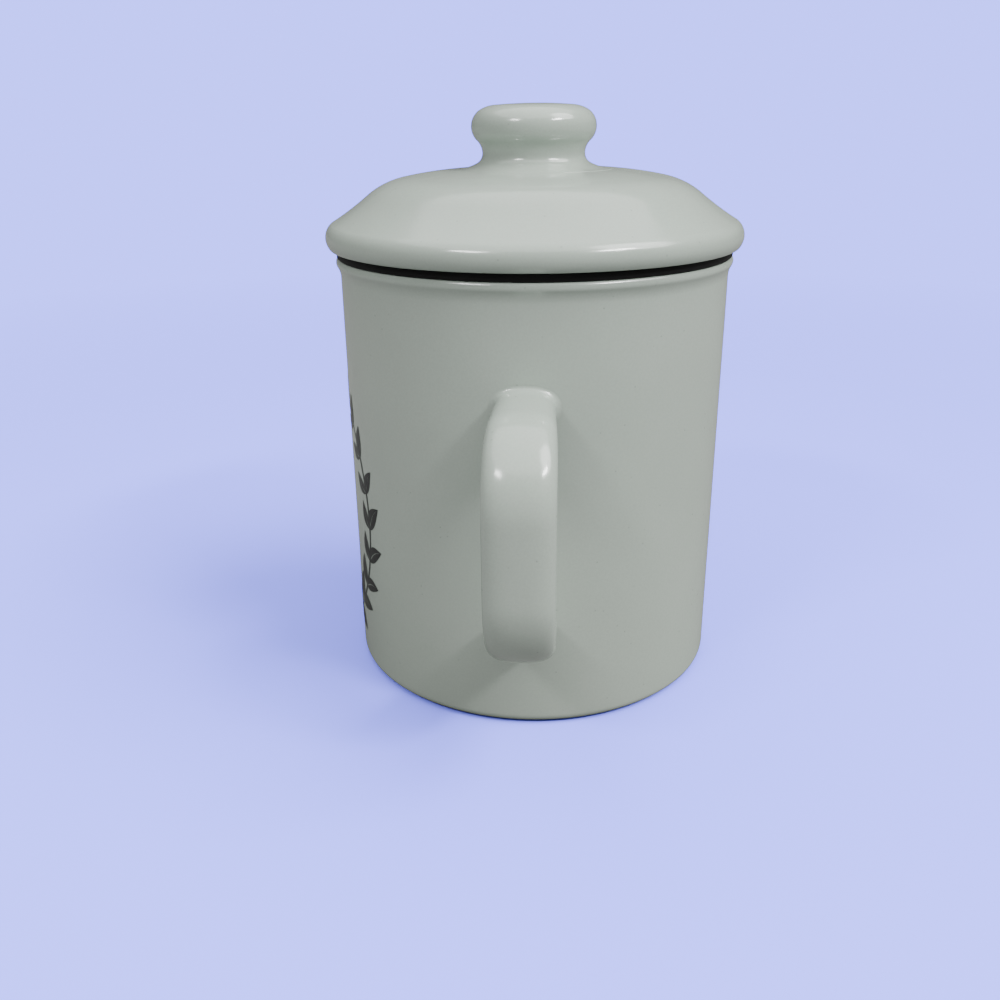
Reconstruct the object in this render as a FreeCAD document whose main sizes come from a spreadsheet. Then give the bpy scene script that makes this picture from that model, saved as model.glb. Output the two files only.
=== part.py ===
"""A lidded bacon grease container with a strap handle, a seal ring and a lift-out strainer.

Millimetres, +Z up. The origin is on the jar's axis, in the plane of its foot ring.
The strap handle points along -Y.
"""
import FreeCAD, Part
import math
import os
import Sketcher

V = FreeCAD.Vector
X_AXIS = V(1, 0, 0)

# Every driving dimension: its name, its value in millimetres or degrees, and what it is.
SIZES = [
    # jar body
    ("body_height", 113.4, "foot ring to the top of the rim"),
    ("wall_radius", 50.8, "outside of the straight wall"),
    ("wall_thick", 5.2, "straight wall"),
    ("rim_stand", 0.85, "rim's edges outside the wall"),
    ("rim_swell", 0.35, "rim's rounded face outside those edges"),
    ("rim_height", 2.0, "rim's rounded face"),
    ("rim_flare", 3.0, "hollow curve under the rim"),
    ("rim_round", 0.4, "rounding of the rim's top edges"),
    ("gallery_step", 2.0, "width of the ledge in the mouth"),
    ("gallery_depth", 7.5, "rim's top to the ledge in the mouth"),
    ("floor_thick", 6.0, "foot plane to the inside floor"),
    ("floor_round", 8.0, "inside corner at the floor"),
    ("base_round", 3.6, "outside corner at the base"),
    ("foot_height", 0.9, "foot ring"),
    ("foot_inset", 4.2, "foot ring inside the wall's outside"),
    ("foot_width", 5.0, "foot ring's width"),
    ("foot_round", 0.3, "rounding of the foot ring's edges"),
    # strap handle
    ("strap_width", 15.8, "strap down its front"),
    ("strap_thick", 7.8, "strap down its front"),
    ("strap_head_width", 14.2, "strap at its upper joint"),
    ("strap_head_thick", 8.6, "strap at its upper joint"),
    ("strap_tail_width", 13.6, "strap at its lower joint"),
    ("strap_tail_thick", 8.8, "strap at its lower joint"),
    ("strap_round", 3.1, "rounding of the strap's edges"),
    ("strap_crown", 30.0, "radius of the strap's broad faces"),
    ("head_drop", 28.6, "rim's top to the middle of the upper joint"),
    ("strap_reach", 30.2, "wall to the middle of the strap's front"),
    ("head_bend", 15.0, "upper bend"),
    ("front_length", 18.6, "straight stretch down the front"),
    ("tail_bend", 18.0, "lower bend"),
    ("tail_slope", 18.0, "fall of the lower arm towards the wall, in degrees"),
    ("strap_root", 3.0, "depth from which the strap starts, before it is cut to the wall"),
    # seal ring
    ("seal_thick", 2.0, "seal between the rim and the lid"),
    ("seal_inset", 0.1, "seal's edge inside the rim's"),
    ("seal_hug", 0.1, "gap between the seal and the lid's locating ring"),
    ("sleeve_thick", 1.4, "seal round the lid's locating ring"),
    ("sleeve_depth", 5.2, "seal below the rim's top"),
    ("fin_reach", 1.5, "fin outside the sleeve"),
    ("fin_root", 1.0, "fin at the sleeve"),
    ("fin_tip", 0.5, "fin at its edge"),
    ("fin_start", 0.9, "rim's top to the first fin"),
    ("fin_pitch", 2.1, "one fin to the next"),
    ("fin_gap", 0.3, "gap between a fin and the mouth"),
    # lid
    ("brim_overhang", 1.65, "lid's lower edge outside the rim's edge"),
    ("brim_height", 6.2, "lid's rounded edge"),
    ("brim_inset", 0.7, "top of the rounded edge inside its foot"),
    ("brim_round", 4.2, "radius of the rounded edge"),
    ("flank_run", 9.7, "width of the sloping flank"),
    ("flank_rise", 6.8, "height of the sloping flank"),
    ("flank_hollow", 83.0, "radius of the flank's slight hollow"),
    ("shoulder_run", 8.4, "width of the shoulder"),
    ("shoulder_rise", 4.0, "height of the shoulder"),
    ("shoulder_round", 21.0, "radius of the shoulder"),
    ("crown_rise", 2.0, "height of the crown"),
    ("crown_round", 95.0, "radius of the crown"),
    ("lid_wall", 4.6, "crown's thickness at the knob's seam"),
    ("hollow_sag", 2.6, "hollow's roof, middle to edge"),
    ("hollow_edge", 10.5, "edge of the hollow's roof inside the locating ring"),
    ("hollow_corner", 13.0, "radius from the hollow's roof to its side"),
    ("hollow_side", 4.0, "lid's underside to the foot of that corner"),
    ("spigot_wall", 3.2, "locating ring under the lid"),
    ("spigot_depth", 6.4, "locating ring below the rim's top"),
    ("spigot_round", 0.8, "rounding of the locating ring's edges"),
    # knob
    ("neck_fillet", 3.3, "hollow at the foot of the neck"),
    ("neck_radius", 13.2, "neck at its narrowest"),
    ("neck_rise", 3.3, "crown's edge to the narrowest part of the neck"),
    ("seam_rise", 0.8, "crown's edge to the knob's seam"),
    ("throat_rise", 3.44, "narrowest part of the neck to the top of the throat"),
    ("throat_hollow", 4.8, "radius of the throat"),
    ("cap_rise", 7.26, "top of the throat to the edge of the knob's top"),
    ("cap_inset", 0.85, "edge of the knob's top inside the top of the throat"),
    ("cap_round", 4.7, "radius of the knob's side"),
    ("button_run", 3.9, "rounded edge of the knob's top"),
    ("button_rise", 1.2, "rounded edge of the knob's top"),
    ("button_round", 8.5, "radius of that edge"),
    ("button_dome", 0.4, "swell of the knob's top"),
    # strainer
    ("sheet_thick", 0.7, "strainer's sheet"),
    ("cup_gap", 1.2, "gap between the strainer and the jar's wall"),
    ("cup_depth", 45.0, "ledge to the strainer's underside"),
    ("cup_bend", 1.0, "inside radius of the sheet's bends"),
    ("cup_lip", 5.8, "inward lip that carries the mesh"),
    ("flange_gap", 0.3, "gap between the flange and the mouth"),
    ("flange_flat", 0.2, "flat of the flange, from the bend to its folded edge"),
    ("mesh_thick", 0.5, "mesh"),
    ("mesh_gap", 0.4, "gap between the mesh and the sheet's bend"),
    ("mesh_pitch", 4.1, "one opening of the mesh to the next"),
    ("mesh_bar", 0.8, "bar between two openings"),
    ("mesh_border", 4.4, "mesh's edge without openings"),
    ("clamp_thick", 0.8, "ring that clamps the mesh"),
    ("clamp_width", 3.6, "ring that clamps the mesh"),
    ("loop_wire", 2.4, "wire of a finger loop"),
    ("loop_span", 22.0, "finger loop along the wall, wire centre to wire centre"),
    ("loop_reach", 11.5, "finger loop inwards from the wall, to the wire's centre"),
    ("loop_bend", 6.0, "corner of a finger loop"),
    ("loop_drop", 2.6, "ledge to the middle of a finger loop's wire"),
    ("loop_gap", 0.05, "gap between a finger loop's ends and the wall, where they are brazed"),
]

FIN_COUNT = 2
MILLI = 1e-3
LEFT, RIGHT = 1, -1

doc = FreeCAD.newDocument("grease_container")


class Size:
    """A size that carries both its value and the expression that the value comes from."""

    def __init__(self, value, text=None):
        self.value = float(value)
        self.text = text or repr(self.value)

    def __float__(self):
        return self.value

    def __neg__(self):
        return Size(-self.value, f"(-{self.text})")

    def __add__(self, other):
        other = sized(other)
        return Size(self.value + other.value, f"({self.text} + {other.text})")

    def __sub__(self, other):
        return self + -sized(other)

    def __mul__(self, other):
        other = sized(other)
        return Size(self.value * other.value, f"({self.text} * {other.text})")

    def __truediv__(self, other):
        other = sized(other)
        return Size(self.value / other.value, f"({self.text} / {other.text})")


def sized(value):
    """The value as a Size."""
    return value if isinstance(value, Size) else Size(value)


def root(value):
    """The square root of a Size."""
    return Size(math.sqrt(value.value), f"sqrt({value.text})")


def sine(angle):
    """The sine of a Size in degrees."""
    return Size(math.sin(math.radians(angle.value)), f"sin({angle.text} * 1 deg)")


def cosine(angle):
    """The cosine of a Size in degrees."""
    return Size(math.cos(math.radians(angle.value)), f"cos({angle.text} * 1 deg)")


def read_sheet():
    """Puts the driving dimensions in the spreadsheet and gives them back by name."""
    sheet = doc.addObject("Spreadsheet::Sheet", "Sizes")
    for row, (alias, value, meaning) in enumerate(SIZES, start=1):
        sheet.set(f"A{row}", alias)
        sheet.set(f"B{row}", str(value))
        sheet.set(f"C{row}", meaning)
        sheet.setAlias(f"B{row}", alias)
    doc.recompute()
    return {alias: Size(getattr(sheet, alias), f"Sizes.{alias}") for alias, _, _ in SIZES}


class Named:
    """The driving dimensions as attributes."""

    def __init__(self, sizes):
        self.__dict__.update(sizes)


S = Named(read_sheet())

# Heights and radii that two or more pieces share.
RIM_Z = S.body_height
RIM_EDGE = S.wall_radius + S.rim_stand
BORE = S.wall_radius - S.wall_thick
MOUTH = BORE + S.gallery_step
LEDGE_Z = RIM_Z - S.gallery_depth
LID_Z = RIM_Z + S.seal_thick
SLEEVE = MOUTH - S.fin_gap - S.fin_reach
SPIGOT = SLEEVE - S.sleeve_thick - S.seal_hug
SPIGOT_Z = RIM_Z - S.spigot_depth
BRIM = RIM_EDGE + S.brim_overhang
CROWN_EDGE_Z = LID_Z + S.brim_height + S.flank_rise + S.shoulder_rise
NECK_FOOT_Z = CROWN_EDGE_Z + S.crown_rise
NECK_Z = NECK_FOOT_Z + S.neck_rise
SEAM_Z = NECK_FOOT_Z + S.seam_rise
CUP = BORE - S.cup_gap
CUP_INSIDE = CUP - S.sheet_thick
CUP_FOOT_Z = LEDGE_Z - S.cup_depth
MESH_Z = CUP_FOOT_Z + S.sheet_thick
MESH_RADIUS = CUP_INSIDE - S.cup_bend - S.mesh_gap
CLAMP_Z = MESH_Z + S.mesh_thick


def radius_of(half_chord, swell):
    """The radius of an arc that stands out by the swell over a chord of twice that half."""
    return (half_chord * half_chord + swell * swell) / (swell * 2)


def fillet_radius_at(height):
    """The neck fillet's distance from the jar's axis, at a height below the narrowest part."""
    drop = NECK_Z - height
    return S.neck_radius + S.neck_fillet - root(S.neck_fillet * S.neck_fillet - drop * drop)


SEAM_RADIUS = fillet_radius_at(SEAM_Z)


def new_body(label):
    """An empty body. Its label names its file."""
    body = doc.addObject("PartDesign::Body", label)
    body.Label = label
    return body


def new_sketch(body, name, role, offset=0, turn=0, along=0):
    """A sketch on one of the body's origin planes, moved off it and turned about the sketch's own x."""
    sketch = body.newObject("Sketcher::SketchObject", name)
    plane = next(feature for feature in body.Origin.OriginFeatures if feature.Role == role)
    sketch.AttachmentSupport = [(plane, "")]
    sketch.MapMode = "FlatFace"
    turned = FreeCAD.Rotation(X_AXIS, float(turn))
    sketch.AttachmentOffset = FreeCAD.Placement(V(0, float(along), float(offset)), turned)
    bind(sketch, "AttachmentOffset.Base.z", offset)
    bind(sketch, "AttachmentOffset.Base.y", along)
    bind(sketch, "AttachmentOffset.Rotation.Angle", turn)
    return sketch


def bind(thing, target, size):
    """Ties a property to the sheet, where the size comes from there."""
    if isinstance(size, Size):
        thing.setExpression(target, size.text)


def constrain(sketch, kind, side, end, size):
    """Sets a distance or a radius in a sketch, and ties it to the sheet."""
    place = (side, end) if end else (side,)
    index = sketch.addConstraint(Sketcher.Constraint(kind, *place, float(size)))
    bind(sketch, f"Constraints[{index}]", size)


def arc(start, end, radius, side):
    """The short arc between two points. It turns left where side is 1, and right where it is -1."""
    middle = (start + end) / 2
    chord = end - start
    rise = math.sqrt(radius * radius - chord.Length ** 2 / 4)
    left = V(-chord.y, chord.x, 0).normalize()
    centre = middle + left * (side * rise)
    first, last = (start, end) if side > 0 else (end, start)
    angles = [math.atan2(point.y - centre.y, point.x - centre.x) for point in (first, last)]
    if angles[1] < angles[0]:
        angles[1] += 2 * math.pi
    return Part.ArcOfCircle(Part.Circle(centre, V(0, 0, 1), radius), *angles)


def draw(sketch, steps, closed=True):
    """Draws an outline. Each step is a point (x, y) that a straight side leads to, or (x, y, turn,
    radius), where an arc leads to it. A closed outline starts from its last point, and an open one
    from its first."""
    points = [V(float(step[0]), float(step[1]), 0) for step in steps]
    ends = []
    for index in range(0 if closed else 1, len(steps)):
        start, end = points[index - 1], points[index]
        if len(steps[index]) == 2:
            side = sketch.addGeometry(Part.LineSegment(start, end))
            ends.append((side, 1, 2))
            continue
        turn, radius = steps[index][2:]
        side = sketch.addGeometry(arc(start, end, float(radius), turn))
        ends.append((side, 1, 2) if turn > 0 else (side, 2, 1))
        constrain(sketch, "Radius", side, None, radius)
    for index, (side, first, last) in enumerate(ends):
        if index or closed:
            before, _, join = ends[index - 1]
            sketch.addConstraint(Sketcher.Constraint("Coincident", before, join, side, first))
        step = steps[index if closed else index + 1]
        constrain(sketch, "DistanceX", side, last, step[0])
        constrain(sketch, "DistanceY", side, last, step[1])
    if not closed:
        constrain(sketch, "DistanceX", ends[0][0], ends[0][1], steps[0][0])
        constrain(sketch, "DistanceY", ends[0][0], ends[0][1], steps[0][1])


def draw_circle(sketch, radius, x=0, y=0):
    """Draws a circle about a point."""
    centre = V(float(x), float(y), 0)
    side = sketch.addGeometry(Part.Circle(centre, V(0, 0, 1), float(radius)))
    constrain(sketch, "Radius", side, None, radius)
    constrain(sketch, "DistanceX", side, 3, x)
    constrain(sketch, "DistanceY", side, 3, y)


def turned(label, steps):
    """A body turned about the jar's axis from an outline of (radius, height) points."""
    body = new_body(label)
    sketch = new_sketch(body, label + "_outline", "XZ_Plane")
    draw(sketch, steps)
    form = body.newObject("PartDesign::Revolution", label + "_turned")
    form.Profile = sketch
    form.ReferenceAxis = (sketch, ["V_Axis"])
    form.Angle = 360
    return body


def round_edges(body, name, radius, places):
    """Rounds the round edges of a turned body that lie at the given (radius, height) places."""
    doc.recompute()
    base = body.Tip
    names = []
    for number, edge in enumerate(base.Shape.Edges, start=1):
        if edge.Degenerated or not isinstance(edge.Curve, Part.Circle):
            continue
        here = V(edge.Curve.Radius, edge.Curve.Center.z, 0)
        if any((here - V(float(r), float(z), 0)).Length < MILLI for r, z in places):
            names.append(f"Edge{number}")
    if len(names) != len(places):
        raise RuntimeError(f"{name} found {len(names)} of {len(places)} edges")
    rounding = body.newObject("PartDesign::Fillet", name)
    rounding.Base = (base, names)
    rounding.Radius = float(radius)
    bind(rounding, "Radius", radius)


def jar_body():
    """The jar: a foot ring, a straight wall, a rolled rim and a ledge in the mouth for the strainer."""
    foot_out = S.wall_radius - S.foot_inset
    foot_in = foot_out - S.foot_width
    flare_z = RIM_Z - S.rim_height
    flare_foot_z = flare_z - S.rim_flare
    flare = radius_of(S.rim_flare, S.rim_stand)
    swell = radius_of(S.rim_height / 2, S.rim_swell)
    body = turned("jar_body", [
        (0, S.foot_height),
        (foot_in, S.foot_height),
        (foot_in, 0),
        (foot_out, 0),
        (foot_out, S.foot_height),
        (S.wall_radius - S.base_round, S.foot_height),
        (S.wall_radius, S.foot_height + S.base_round, LEFT, S.base_round),
        (S.wall_radius, flare_foot_z),
        (RIM_EDGE, flare_z, RIGHT, flare),
        (RIM_EDGE, RIM_Z, LEFT, swell),
        (MOUTH, RIM_Z),
        (MOUTH, LEDGE_Z),
        (BORE, LEDGE_Z),
        (BORE, S.floor_thick + S.floor_round),
        (BORE - S.floor_round, S.floor_thick, RIGHT, S.floor_round),
        (0, S.floor_thick),
    ])
    round_edges(body, "rim_rounding", S.rim_round, [(RIM_EDGE, RIM_Z), (MOUTH, RIM_Z)])
    round_edges(body, "foot_rounding", S.foot_round, [(foot_in, 0), (foot_out, 0)])


def strap_outline(sketch, width, thick):
    """A rounded section of the strap, with its two broad faces slightly crowned."""
    half, deep = width / 2, thick / 2
    inner = S.strap_crown - S.strap_round
    corner_x = half - S.strap_round
    rise = root(inner * inner - corner_x * corner_x)
    corner_y = deep - S.strap_crown + rise
    meet_x = corner_x * S.strap_crown / inner
    meet_y = deep - S.strap_crown + rise * S.strap_crown / inner
    draw(sketch, [
        (half, corner_y),
        (meet_x, meet_y, LEFT, S.strap_round),
        (-meet_x, meet_y, LEFT, S.strap_crown),
        (-half, corner_y, LEFT, S.strap_round),
        (-half, -corner_y),
        (-meet_x, -meet_y, LEFT, S.strap_round),
        (meet_x, -meet_y, LEFT, S.strap_crown),
        (half, -corner_y, LEFT, S.strap_round),
    ])


def strap_handle():
    """The handle: a strap swept from the wall, out, down and back, and cut to the wall's curve."""
    body = new_body("strap_handle")
    head_z = RIM_Z - S.head_drop
    start = S.wall_radius - S.strap_root
    front = S.wall_radius + S.strap_reach
    bend_z = head_z - S.head_bend
    tail_z = bend_z - S.front_length
    arm_out = front - S.tail_bend + S.tail_bend * sine(S.tail_slope)
    arm_z = tail_z - S.tail_bend * cosine(S.tail_slope)
    fall = (arm_out - start) * sine(S.tail_slope) / cosine(S.tail_slope)
    end_z = arm_z - fall

    path = new_sketch(body, "strap_path", "YZ_Plane")
    draw(path, [
        (-start, head_z),
        (-(front - S.head_bend), head_z),
        (-front, bend_z, LEFT, S.head_bend),
        (-front, tail_z),
        (-arm_out, arm_z, LEFT, S.tail_bend),
        (-start, end_z),
    ], closed=False)

    head = new_sketch(body, "strap_head", "XZ_Plane", start, 0, head_z)
    strap_outline(head, S.strap_head_width, S.strap_head_thick)
    upper = new_sketch(body, "strap_upper", "XY_Plane", bend_z, 180, -front)
    strap_outline(upper, S.strap_width, S.strap_thick)
    lower = new_sketch(body, "strap_lower", "XY_Plane", tail_z, 180, -front)
    strap_outline(lower, S.strap_width, S.strap_thick)
    tail = new_sketch(body, "strap_tail", "XZ_Plane", start, Size(180) - S.tail_slope, end_z)
    strap_outline(tail, S.strap_tail_width, S.strap_tail_thick)

    strap = body.newObject("PartDesign::AdditivePipe", "strap_sweep")
    strap.Profile = head
    strap.Spine = (path, [f"Edge{number}" for number in range(1, 6)])
    strap.Transformation = "Multisection"
    strap.Sections = [upper, lower, tail]
    doc.recompute()

    cut = new_sketch(body, "wall_circle", "XY_Plane")
    draw_circle(cut, S.wall_radius)
    pocket = body.newObject("PartDesign::Pocket", "cut_to_wall")
    pocket.Profile = cut
    pocket.Type = "Length"
    pocket.Length = float(RIM_Z)
    pocket.Reversed = True
    bind(pocket, "Length", RIM_Z)


def lid_dome():
    """The lid: a rounded brim, a sloping flank, a shoulder and a low crown, hollow underneath, with
    a locating ring that the seal grips."""
    flank_in = BRIM - S.brim_inset - S.flank_run
    flank_z = LID_Z + S.brim_height + S.flank_rise
    inside = SPIGOT - S.spigot_wall
    roof_z = SEAM_Z - S.lid_wall
    roof = inside - S.hollow_edge
    body = turned("lid_dome", [
        (0, roof_z),
        (roof, roof_z - S.hollow_sag, RIGHT, radius_of(roof, S.hollow_sag)),
        (inside, LID_Z + S.hollow_side, RIGHT, S.hollow_corner),
        (inside, SPIGOT_Z),
        (SPIGOT, SPIGOT_Z),
        (SPIGOT, LID_Z),
        (BRIM, LID_Z),
        (BRIM - S.brim_inset, LID_Z + S.brim_height, LEFT, S.brim_round),
        (flank_in, flank_z, RIGHT, S.flank_hollow),
        (flank_in - S.shoulder_run, CROWN_EDGE_Z, LEFT, S.shoulder_round),
        (S.neck_radius + S.neck_fillet, NECK_FOOT_Z, LEFT, S.crown_round),
        (SEAM_RADIUS, SEAM_Z, RIGHT, S.neck_fillet),
        (0, SEAM_Z),
    ])
    edges = [(inside, SPIGOT_Z), (SPIGOT, SPIGOT_Z)]
    round_edges(body, "spigot_rounding", S.spigot_round, edges)


def lid_knob():
    """The knob: a hollow neck that swells into a rounded cap with a slightly domed top."""
    throat_z = NECK_Z + S.throat_rise
    throat_out = S.neck_radius + S.throat_hollow
    reach = root(S.throat_hollow * S.throat_hollow - S.throat_rise * S.throat_rise)
    throat = throat_out - reach
    cap = throat - S.cap_inset
    cap_z = throat_z + S.cap_rise
    button = cap - S.button_run
    button_z = cap_z + S.button_rise
    dome = radius_of(button, S.button_dome)
    turned("lid_knob", [
        (0, SEAM_Z),
        (SEAM_RADIUS, SEAM_Z),
        (S.neck_radius, NECK_Z, RIGHT, S.neck_fillet),
        (throat, throat_z, RIGHT, S.throat_hollow),
        (cap, cap_z, LEFT, S.cap_round),
        (button, button_z, LEFT, S.button_round),
        (0, button_z + S.button_dome, LEFT, dome),
    ])


def seal_ring():
    """The seal: a flat ring between rim and lid, and a sleeve round the locating ring, with fins that
    wipe the mouth."""
    inside = SLEEVE - S.sleeve_thick
    sleeve_z = RIM_Z - S.sleeve_depth
    steps = [(inside, LID_Z), (inside, sleeve_z), (SLEEVE, sleeve_z)]
    for number in reversed(range(FIN_COUNT)):
        top = RIM_Z - S.fin_start - S.fin_pitch * number
        slack = (S.fin_root - S.fin_tip) / 2
        steps += [
            (SLEEVE, top - S.fin_root),
            (SLEEVE + S.fin_reach, top - S.fin_root + slack),
            (SLEEVE + S.fin_reach, top - slack),
            (SLEEVE, top),
        ]
    edge = RIM_EDGE - S.seal_inset
    steps += [(SLEEVE, RIM_Z), (edge, RIM_Z), (edge, LID_Z)]
    turned("seal_ring", steps)


def strainer_cup():
    """The strainer: a drawn cup with a hemmed flange on the ledge and an inward lip at its foot."""
    bend, sheet = S.cup_bend, S.sheet_thick
    outer_bend = bend + sheet
    rim = MOUTH - S.flange_gap
    hem = CUP + bend + S.flange_flat
    lip = CUP - S.cup_lip
    flange_z = LEDGE_Z + sheet
    hem_z = flange_z + sheet
    foot = CUP - outer_bend
    turned("strainer_cup", [
        (CUP + bend, LEDGE_Z),
        (CUP, LEDGE_Z - bend, LEFT, bend),
        (CUP, CUP_FOOT_Z + outer_bend),
        (foot, CUP_FOOT_Z, RIGHT, outer_bend),
        (lip, CUP_FOOT_Z),
        (lip, MESH_Z),
        (foot, MESH_Z),
        (CUP_INSIDE, CUP_FOOT_Z + outer_bend, LEFT, bend),
        (CUP_INSIDE, LEDGE_Z - bend),
        (CUP + bend, flange_z, RIGHT, outer_bend),
        (hem, flange_z),
        (hem, hem_z),
        (rim, hem_z),
        (rim, LEDGE_Z),
    ])


def mesh_ring():
    """The flat ring that clamps the mesh on the cup's lip."""
    inner = MESH_RADIUS - S.clamp_width
    top = CLAMP_Z + S.clamp_thick
    turned("mesh_ring", [
        (inner, CLAMP_Z),
        (MESH_RADIUS, CLAMP_Z),
        (MESH_RADIUS, top),
        (inner, top),
    ])


def strainer_mesh():
    """The mesh: one round sheet with a grid of square openings inside its plain border."""
    pitch = float(S.mesh_pitch)
    half = (pitch - float(S.mesh_bar)) / 2
    radius = float(MESH_RADIUS)
    reach = radius - float(S.mesh_border)
    count = int(reach // pitch)
    wires = [Part.Wire(Part.makeCircle(radius))]
    for column in range(-count, count + 1):
        for row in range(-count, count + 1):
            x, y = column * pitch, row * pitch
            if math.hypot(abs(x) + half, abs(y) + half) > reach:
                continue
            corners = [V(x + i * half, y + j * half, 0) for i, j in ((-1, -1), (-1, 1), (1, 1), (1, -1))]
            wires.append(Part.makePolygon(corners + corners[:1]))
    print("mesh openings", len(wires) - 1)
    sheet = doc.addObject("Part::Feature", "strainer_mesh")
    sheet.Label = "strainer_mesh"
    sheet.Shape = Part.Face(wires).extrude(V(0, 0, float(S.mesh_thick)))
    sheet.Placement.Base = V(0, 0, float(MESH_Z))


def finger_loop(label, side):
    """One wire loop that lies level inside the cup, with its two ends brazed to the wall. A side of 1
    is towards +X, and of -1 towards -X."""
    body = new_body(label)
    level = LEDGE_Z - S.loop_drop
    half = S.loop_span / 2
    start = CUP
    inner = CUP_INSIDE - S.loop_reach
    turn = RIGHT * side
    path = new_sketch(body, label + "_path", "XY_Plane", level)
    draw(path, [
        (start * side, -half),
        ((inner + S.loop_bend) * side, -half),
        (inner * side, -half + S.loop_bend, turn, S.loop_bend),
        (inner * side, half - S.loop_bend),
        ((inner + S.loop_bend) * side, half, turn, S.loop_bend),
        (start * side, half),
    ], closed=False)
    section = new_sketch(body, label + "_section", "YZ_Plane", start * side)
    draw_circle(section, S.loop_wire / 2, -half, level)
    wire = body.newObject("PartDesign::AdditivePipe", label + "_wire")
    wire.Profile = section
    wire.Spine = (path, [f"Edge{number}" for number in range(1, 6)])
    doc.recompute()

    trim = new_sketch(body, label + "_trim", "XY_Plane", level - S.loop_wire)
    draw_circle(trim, CUP_INSIDE - S.loop_gap)
    draw_circle(trim, MOUTH)
    pocket = body.newObject("PartDesign::Pocket", label + "_ends")
    pocket.Profile = trim
    pocket.Type = "Length"
    pocket.Length = float(S.loop_wire * 2)
    pocket.Reversed = True
    bind(pocket, "Length", S.loop_wire * 2)


def check_document():
    """Stops if any object failed, or any sub-part has no valid shape."""
    for thing in doc.Objects:
        if {"Invalid", "Error"} & set(thing.State):
            raise RuntimeError(f"{thing.Name} failed: {thing.State}")
    for part in sub_parts():
        if part.Shape.isNull() or not part.Shape.isValid() or part.Shape.Volume <= 0:
            raise RuntimeError(f"{part.Label} has no valid shape")


def sub_parts():
    """The objects that are pieces of the container."""
    kinds = ("PartDesign::Body", "Part::Feature")
    return [thing for thing in doc.Objects if thing.TypeId in kinds]


def write_parts():
    """Writes each sub-part to a file that its label names."""
    os.makedirs("parts", exist_ok=True)
    for part in sub_parts():
        part.Shape.exportStep(f"parts/{part.Label}.step")
        box = part.Shape.BoundBox
        print(f"{part.Label}: {part.Shape.Volume:.0f} mm3, {len(part.Shape.Solids)} solid, "
              f"z {box.ZMin:.2f} to {box.ZMax:.2f}, radius {box.XMax:.2f}")


jar_body()
strap_handle()
lid_dome()
lid_knob()
seal_ring()
strainer_cup()
mesh_ring()
strainer_mesh()
finger_loop("finger_loop_right", 1)
finger_loop("finger_loop_left", -1)
doc.recompute()
check_document()
write_parts()
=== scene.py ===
"""Looks of a lidded ceramic grease container with a strap handle, a seal ring and a strainer.

Metres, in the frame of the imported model: +Z up, the jar's axis at x = y = 0, and the handle
towards -Y.
"""
import math
import random

import bpy
from bpy.props import FloatProperty, FloatVectorProperty, IntProperty, PointerProperty
from bpy.types import Operator, Panel, PropertyGroup
from mathutils import Matrix, Vector


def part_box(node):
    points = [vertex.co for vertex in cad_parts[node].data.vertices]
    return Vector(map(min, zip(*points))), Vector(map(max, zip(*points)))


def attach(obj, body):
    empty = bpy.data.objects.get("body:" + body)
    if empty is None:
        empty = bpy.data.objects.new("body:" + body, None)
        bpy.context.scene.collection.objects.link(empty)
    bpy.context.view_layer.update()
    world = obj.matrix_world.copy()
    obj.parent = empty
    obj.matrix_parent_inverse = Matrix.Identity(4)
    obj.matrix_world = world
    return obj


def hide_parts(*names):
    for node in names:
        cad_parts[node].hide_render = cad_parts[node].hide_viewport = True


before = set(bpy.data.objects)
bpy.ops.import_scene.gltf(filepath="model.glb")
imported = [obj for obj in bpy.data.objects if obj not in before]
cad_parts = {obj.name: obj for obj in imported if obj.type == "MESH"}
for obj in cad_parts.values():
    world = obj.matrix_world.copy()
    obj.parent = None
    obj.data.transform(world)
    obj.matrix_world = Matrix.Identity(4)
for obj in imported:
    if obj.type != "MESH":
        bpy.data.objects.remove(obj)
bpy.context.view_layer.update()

bl_info = {
    "name": "Glazed Grease Container",
    "version": (1, 0, 0),
    "blender": (4, 5, 0),
    "location": "View3D > Sidebar > Container",
    "description": "Models a lidded ceramic jar with its handle, seal, strainer and finishes",
    "category": "Object",
}

MM = 0.001

# Places that the frame gives.
JAR_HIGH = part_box("jar_body")[1]
LID_LOW, LID_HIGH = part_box("lid_dome")
KNOB_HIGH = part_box("lid_knob")[1]
SEAL_LOW, SEAL_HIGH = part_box("seal_ring")
CUP_LOW, CUP_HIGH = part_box("strainer_cup")
MESH_LOW, MESH_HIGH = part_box("strainer_mesh")
CLAMP_LOW, CLAMP_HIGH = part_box("mesh_ring")

RIM_Z = JAR_HIGH.z
RIM_RADIUS = JAR_HIGH.x
LID_Z = SEAL_HIGH.z
BRIM_RADIUS = LID_HIGH.x
SEAM_Z = LID_HIGH.z

# Sizes of the jar. The base's round and foot are tighter than the frame's, as the photograph's are.
WALL_RADIUS = 50.8 * MM
BORE_RADIUS = 45.6 * MM
MOUTH_RADIUS = 47.6 * MM
LEDGE_Z = RIM_Z - 7.5 * MM
RIM_EDGE = 51.65 * MM
RIM_HEIGHT = 2.0 * MM
RIM_FLARE = 3.0 * MM
FLOOR_Z = 6.0 * MM
FLOOR_ROUND = 8.0 * MM
BASE_ROUND = 2.4 * MM
FOOT_HEIGHT = 0.4 * MM
FOOT_OUTSIDE = 47.2 * MM
FOOT_INSIDE = 41.6 * MM

# Sizes of the handle.
HEAD_Z = 84.8 * MM
FRONT_REACH = 81.0 * MM
HEAD_BEND = 15.0 * MM
TAIL_BEND = 18.0 * MM
FRONT_LENGTH = 18.6 * MM
TAIL_SLOPE = math.radians(18)
JOINT_FILLET = 1.3 * MM
SECTION_POWER = 0.8  # 1 is an ellipse, and less is squarer

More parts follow.
